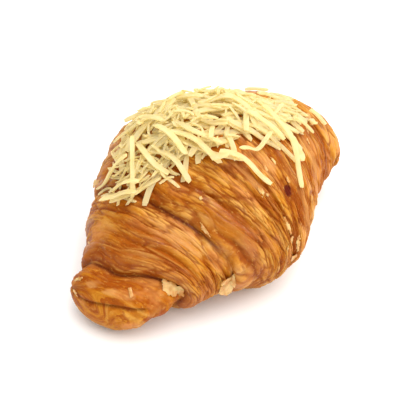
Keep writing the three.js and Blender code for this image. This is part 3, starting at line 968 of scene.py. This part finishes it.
# %% Sweeping a torn strip along a line
def even_line(points, step):
    """A smooth line through points, with even steps in mm."""
    points = np.asarray(points, float)
    padded = np.vstack([2 * points[0] - points[1], points, 2 * points[-1] - points[-2]])
    fine = []
    for i in range(len(points) - 1):
        before, start, end, after = padded[i:i + 4]
        for t in np.linspace(0, 1, 12, endpoint=False):
            slope_in, slope_out = (end - before) / 2, (after - start) / 2
            fine.append((2 * t**3 - 3 * t**2 + 1) * start + (t**3 - 2 * t**2 + t) * slope_in
                        + (3 * t**2 - 2 * t**3) * end + (t**3 - t**2) * slope_out)
    fine = np.array(fine + [points[-1]])
    run = np.concatenate([[0], np.cumsum(np.linalg.norm(np.diff(fine, axis=0), axis=1))])
    even = np.linspace(0, run[-1], max(5, round(run[-1] / step) + 1))
    return np.stack([np.interp(even, run, fine[:, k]) for k in range(3)], axis=1)


# A strip has a section every 0.8 mm, and its line is evened out twelve times, as a stiff strip is.
STRIP_STEP = 0.8
STIFFENING = 12
# The section of a strip: places across and up, for half a width and half a thickness of 1.
STRIP_SECTION = np.array([
    (-1, -0.7), (-0.85, -1), (0.85, -1), (1, -0.7), (1, 0.7), (0.85, 1), (0.3, 0.75),
    (-0.3, 0.75), (-0.85, 1), (-1, 0.7),
])


def strip(line, width, thickness, seed):
    """Points and faces of a torn strip along a line, in mm."""
    line = even_line(line, STRIP_STEP)
    for again in range(STIFFENING):
        line[1:-1] = (line[:-2] + 2 * line[1:-1] + line[2:]) / 4
    tangent = unit(np.gradient(line, axis=0))
    sideways = unit(np.cross(tangent, (0, 0, 1)))
    upwards = np.cross(sideways, tangent)
    run = np.arange(len(line)) * STRIP_STEP
    roll = 0.2 * noise(run / 15, run * 0, seed)[:, None]
    side = sideways * np.cos(roll) + upwards * np.sin(roll)
    up = upwards * np.cos(roll) - sideways * np.sin(roll)
    to_end = np.minimum(run, run[-1] - run)
    taper = 0.72 + 0.28 * smooth_step(0, 1.8, to_end)
    half_width = width / 2 * taper * (1 + 0.05 * noise(run / 3, run * 0, seed + 2))
    half_thick = thickness / 2 * taper * (1 + 0.08 * noise(run / 5, run * 0, seed + 3))
    across_strip = STRIP_SECTION[None, :, :1] * (half_width[:, None] * side)[:, None]
    up_strip = STRIP_SECTION[None, :, 1:] * (half_thick[:, None] * up)[:, None]
    slanted_cut = STRIP_SECTION[None, :, :1] * tangent[:, None] * 0.5
    slanted_cut = slanted_cut * noise(run * 0, run * 0 + seed, 6)[:, None, None]
    points = (line[:, None] + across_strip + up_strip + slanted_cut).reshape(-1, 3)
    faces = grid_faces(len(line), len(STRIP_SECTION)).tolist()
    corner = list(range(len(STRIP_SECTION)))
    last = len(points) - len(STRIP_SECTION)
    faces.append(corner)
    faces.append([last + c for c in reversed(corner)])
    return points, faces


# %% [markdown]
# ## The finish of the cheese
#
# Young semi-hard cheese lets light through, which softens every shadow in the heap and makes thin
# strips glow. The material mixes a surface with a soft, low shine, which the fat gives, and a part
# that passes light on to the other side. It is pale yellow, a touch deeper in places.

# %% Finish: grated semi-hard cheese
CHEESE_PALE = "#F4ECC8"
CHEESE_DEEP = "#F0E2AC"
CHEESE_GLOW = "#FFF5C8"
# The share of the light that a thin shred lets through.
THROUGH = 0.6


def make_cheese_material():
    material, tree = new_material("grated_semi_hard_cheese")
    place = add_node(tree, "ShaderNodeTexCoord").outputs["Object"]
    # Fat and moisture vary over about 3 mm, and the torn faces are rough at about 0.4 mm.
    mottle = add_node(tree, "ShaderNodeTexNoise", links={"Vector": place}, Scale=330.0, Detail=3.0)
    torn = add_node(tree, "ShaderNodeTexNoise", links={"Vector": place}, Scale=2500.0, Detail=2.0)
    colour = add_node(tree, "ShaderNodeValToRGB", links={0: mottle.outputs["Fac"]},
                      stops=[(0.35, CHEESE_DEEP), (0.65, CHEESE_PALE)])
    bump = add_node(tree, "ShaderNodeBump", links={"Height": torn.outputs["Fac"]},
                    Strength=0.3, Distance=0.15 * MM)
    shader = add_node(tree, "ShaderNodeBsdfPrincipled", Roughness=0.5, IOR=1.45,
                      links={"Base Color": colour.outputs[0], "Normal": bump.outputs[0]})
    glow = add_node(tree, "ShaderNodeBsdfTranslucent", Color=linear(CHEESE_GLOW))
    both = add_node(tree, "ShaderNodeMixShader", Fac=THROUGH,
                    links={1: shader.outputs[0], 2: glow.outputs[0]})
    add_node(tree, "ShaderNodeOutputMaterial", links={"Surface": both.outputs[0]})
    return material


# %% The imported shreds, torn from cheese
cheese_material = make_cheese_material()
SHRED_WIDTH = 2.15
SHRED_THICKNESS = 0.95
SHARP_FROM = math.radians(38)


def cheese_piece(name, points, faces):
    piece = mesh_object(name, points, faces, cheese_material)
    piece.data.set_sharp_from_angle(angle=SHARP_FROM)
    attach(piece, "root")
    return piece


for number, name in enumerate(shred_names):
    width = SHRED_WIDTH * spread(number, 0.85, 1.15, 1)
    piece = cheese_piece(name + "_torn", *strip(shred_lines[name], width, SHRED_THICKNESS, number))
    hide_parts(name)
print("torn strips:", len(shred_names))

# %% [markdown]
# ## The rest of the heap
#
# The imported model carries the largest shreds. A handful of grated cheese holds many more, and
# most of them are thinner and shorter. They are dropped one by one on a map of heights: each
# takes the best of a few random places, the one where the heap is still too low, and sags over
# what lies below it. A physics run would pile them too, but the map is quick and repeats
# exactly. All the small shreds of one layer are joined into one piece.

# %% A map of heights
CELL = 0.5
MAP_LENGTH, MAP_WIDTH = 160, 112
MAP_SIZE = (int(MAP_LENGTH / CELL), int(MAP_WIDTH / CELL))


def cell_of(x, y):
    """The cell of the map for a place in mm."""
    i = np.clip(((x + MAP_LENGTH / 2) / CELL).astype(int), 0, MAP_SIZE[0] - 1)
    j = np.clip(((y + MAP_WIDTH / 2) / CELL).astype(int), 0, MAP_SIZE[1] - 1)
    return i, j


def crust_height_map():
    heights = np.zeros(MAP_SIZE)
    np.maximum.at(heights, cell_of(crust_x.ravel(), crust_y.ravel() - centre_y), crust_z.ravel())
    return heights


def lay_on(heights, line, half_width, half_thickness):
    """Raises the map to the top of a strip that lies along a line."""
    line = even_line(line, CELL)
    aside = unit(np.cross(np.gradient(line, axis=0), (0, 0, 1)))
    for share in np.linspace(-1, 1, 7):
        place = line + aside * half_width * share
        np.maximum.at(heights, cell_of(place[:, 0], place[:, 1]), line[:, 2] + half_thickness)


crust_heights = crust_height_map()
print("highest crust in mm:", round(float(crust_heights.max()), 1))

# %% Dropping shreds
# How stiff a shred is: it hangs this many mm lower, one mm to the side of where it rests, and
# four times as much two mm to the side.
SAG = 0.05
LINE_STEP = 1.5


def flat_line(middle, turn, length, bow, swing):
    """A bent line in plan: middle, direction in radians, length, bow and swing to and fro in mm."""
    t = np.linspace(-1, 1, max(4, round(length / LINE_STEP)))
    ahead = t * length / 2
    aside = bow * (t ** 2 - 0.4) + swing * np.sin(t * math.pi)
    x = middle[0] + ahead * math.cos(turn) - aside * math.sin(turn)
    y = middle[1] + ahead * math.sin(turn) + aside * math.cos(turn)
    return x, y


def settle(heights, x, y, half_width, half_thickness, spring):
    """The line that a shred takes when it is let down on the map. A springy one keeps one end up."""
    aside = np.stack([-np.gradient(y), np.gradient(x)])
    aside = aside / np.linalg.norm(aside, axis=0) * half_width
    below = np.max([heights[cell_of(x + aside[0] * s, y + aside[1] * s)] for s in (-1, 0, 1)], axis=0)
    run = np.concatenate([[0], np.cumsum(np.hypot(np.diff(x), np.diff(y)))])
    # The shred takes the slope of the ground under it, and sags between its supports.
    tilt = np.polyfit(run, below, 1)[0]
    apart = run[:, None] - run[None]
    sagged = (below[None] + tilt * apart - SAG * apart ** 2).max(axis=1)
    raised = spring * (run / run[-1]) ** 3
    return np.stack([x, y, sagged + raised + half_thickness], axis=1)


# The heap in plan: place along the bread, its middle and half its breadth, in mm.
heap_middle_at = curve_through([(-40, 14), (-20, 14), (0, 10), (25, 2), (42, -3), (56, -7)])
heap_breadth_at = curve_through([(-40, 11), (-20, 23), (0, 27), (25, 23), (42, 13), (56, 6)])
heap_height_at = curve_through([(-44, 1.2), (-25, 5.5), (0, 8), (20, 7.5), (42, 4), (56, 1.5)])


def wanted_height(x, y):
    """How high the heap stands over the crust at a place."""
    offset = np.abs(y - heap_middle_at(x)) / heap_breadth_at(x)
    return heap_height_at(x) * np.clip(1 - offset ** 2, 0, 1) ** 0.7


# Each shred tries this many places, and every try draws its numbers from a key of its own.
TRIES = 18
KEYS_OF_A_LAYER = 100000
KEYS_OF_A_SHRED = 40
STRIP_SEEDS = 9973
# Six shreds in ten of a layer that has a main direction lie near it.
IN_MAIN_DIRECTION = 0.6


def drop_shreds(heights, count, fill, reach, lengths, widths, thickness, curl, seed, mostly=None):
    """Drops shreds on the map until it is filled to a share of the wanted height, and returns
    the points and faces of all that found a low place."""
    parts = []
    for number in range(count):
        best = (0.0, None, None, None)
        for attempt in range(TRIES):
            key = seed * KEYS_OF_A_LAYER + number * KEYS_OF_A_SHRED + attempt
            x = spread(key, *reach, 1)
            y = float(heap_middle_at(x) + heap_breadth_at(x) * spread(key, -1, 1, 2))
            turn = spread(key, 0, math.pi, 3)
            if mostly is not None and spread(key, 0, 1, 6) < IN_MAIN_DIRECTION:
                turn = mostly + 0.8 * (turn / math.pi - 0.5)
            length = spread(key, *lengths, 4)
            bow = curl * length * spread(key, -1, 1, 5)
            swing = 0.4 * curl * length * spread(key, -1, 1, 8)
            width = spread(key, *widths, 7)
            # Three shreds in ten keep one end up, by as much as 3.5 mm.
            spring = max(0, spread(key, -8, 3.5, 9))
            settled = settle(heights, *flat_line((x, y), turn, length, bow, swing),
                             width / 2, thickness / 2, spring)
            over_crust = settled[:, 2] - crust_heights[cell_of(settled[:, 0], settled[:, 1])]
            wanted = fill * wanted_height(settled[:, 0], settled[:, 1])
            gain = float((wanted - over_crust).mean())
            if gain > best[0]:
                best = (gain, settled, width, key)
        gain, settled, width, key = best
        if settled is None:
            continue
        lay_on(heights, settled, width / 2, thickness / 2)
        parts.append(strip(settled, width, thickness, key % STRIP_SEEDS))
    print("shreds laid:", len(parts), "of", count)
    return join(parts)


# %% The small shreds
# The layers of the heap, laid one after the other: how many shreds are tried, how full the heap
# gets, the layer's reach along the bread, the sizes of its shreds in mm, and how much they curl.
ALONG_THE_HEAP = math.radians(-42)
HEAP_LAYERS = {
    "short_shreds": dict(
        count=240, fill=0.7, reach=(-42, 52), lengths=(8, 22), widths=(1.2, 2.6), thickness=0.8,
        curl=0.1, seed=1),
    "long_shreds": dict(
        count=110, fill=1.0, reach=(-24, 46), lengths=(14, 30), widths=(2.0, 2.9), thickness=0.9,
        curl=0.05, seed=2, mostly=ALONG_THE_HEAP),
    "curly_crumbs": dict(
        count=130, fill=1.1, reach=(-43, -6), lengths=(4, 11), widths=(0.7, 1.3), thickness=0.7,
        curl=0.35, seed=3),
    "thin_slivers": dict(
        count=50, fill=1.3, reach=(-24, 54), lengths=(5, 16), widths=(0.7, 1.6), thickness=0.6,
        curl=0.12, seed=4),
}
heights = crust_heights.copy()
for name, habits in HEAP_LAYERS.items():
    cheese_piece(name, *drop_shreds(heights, **habits))
print("highest shred in mm:", round(float(heights.max()), 1))
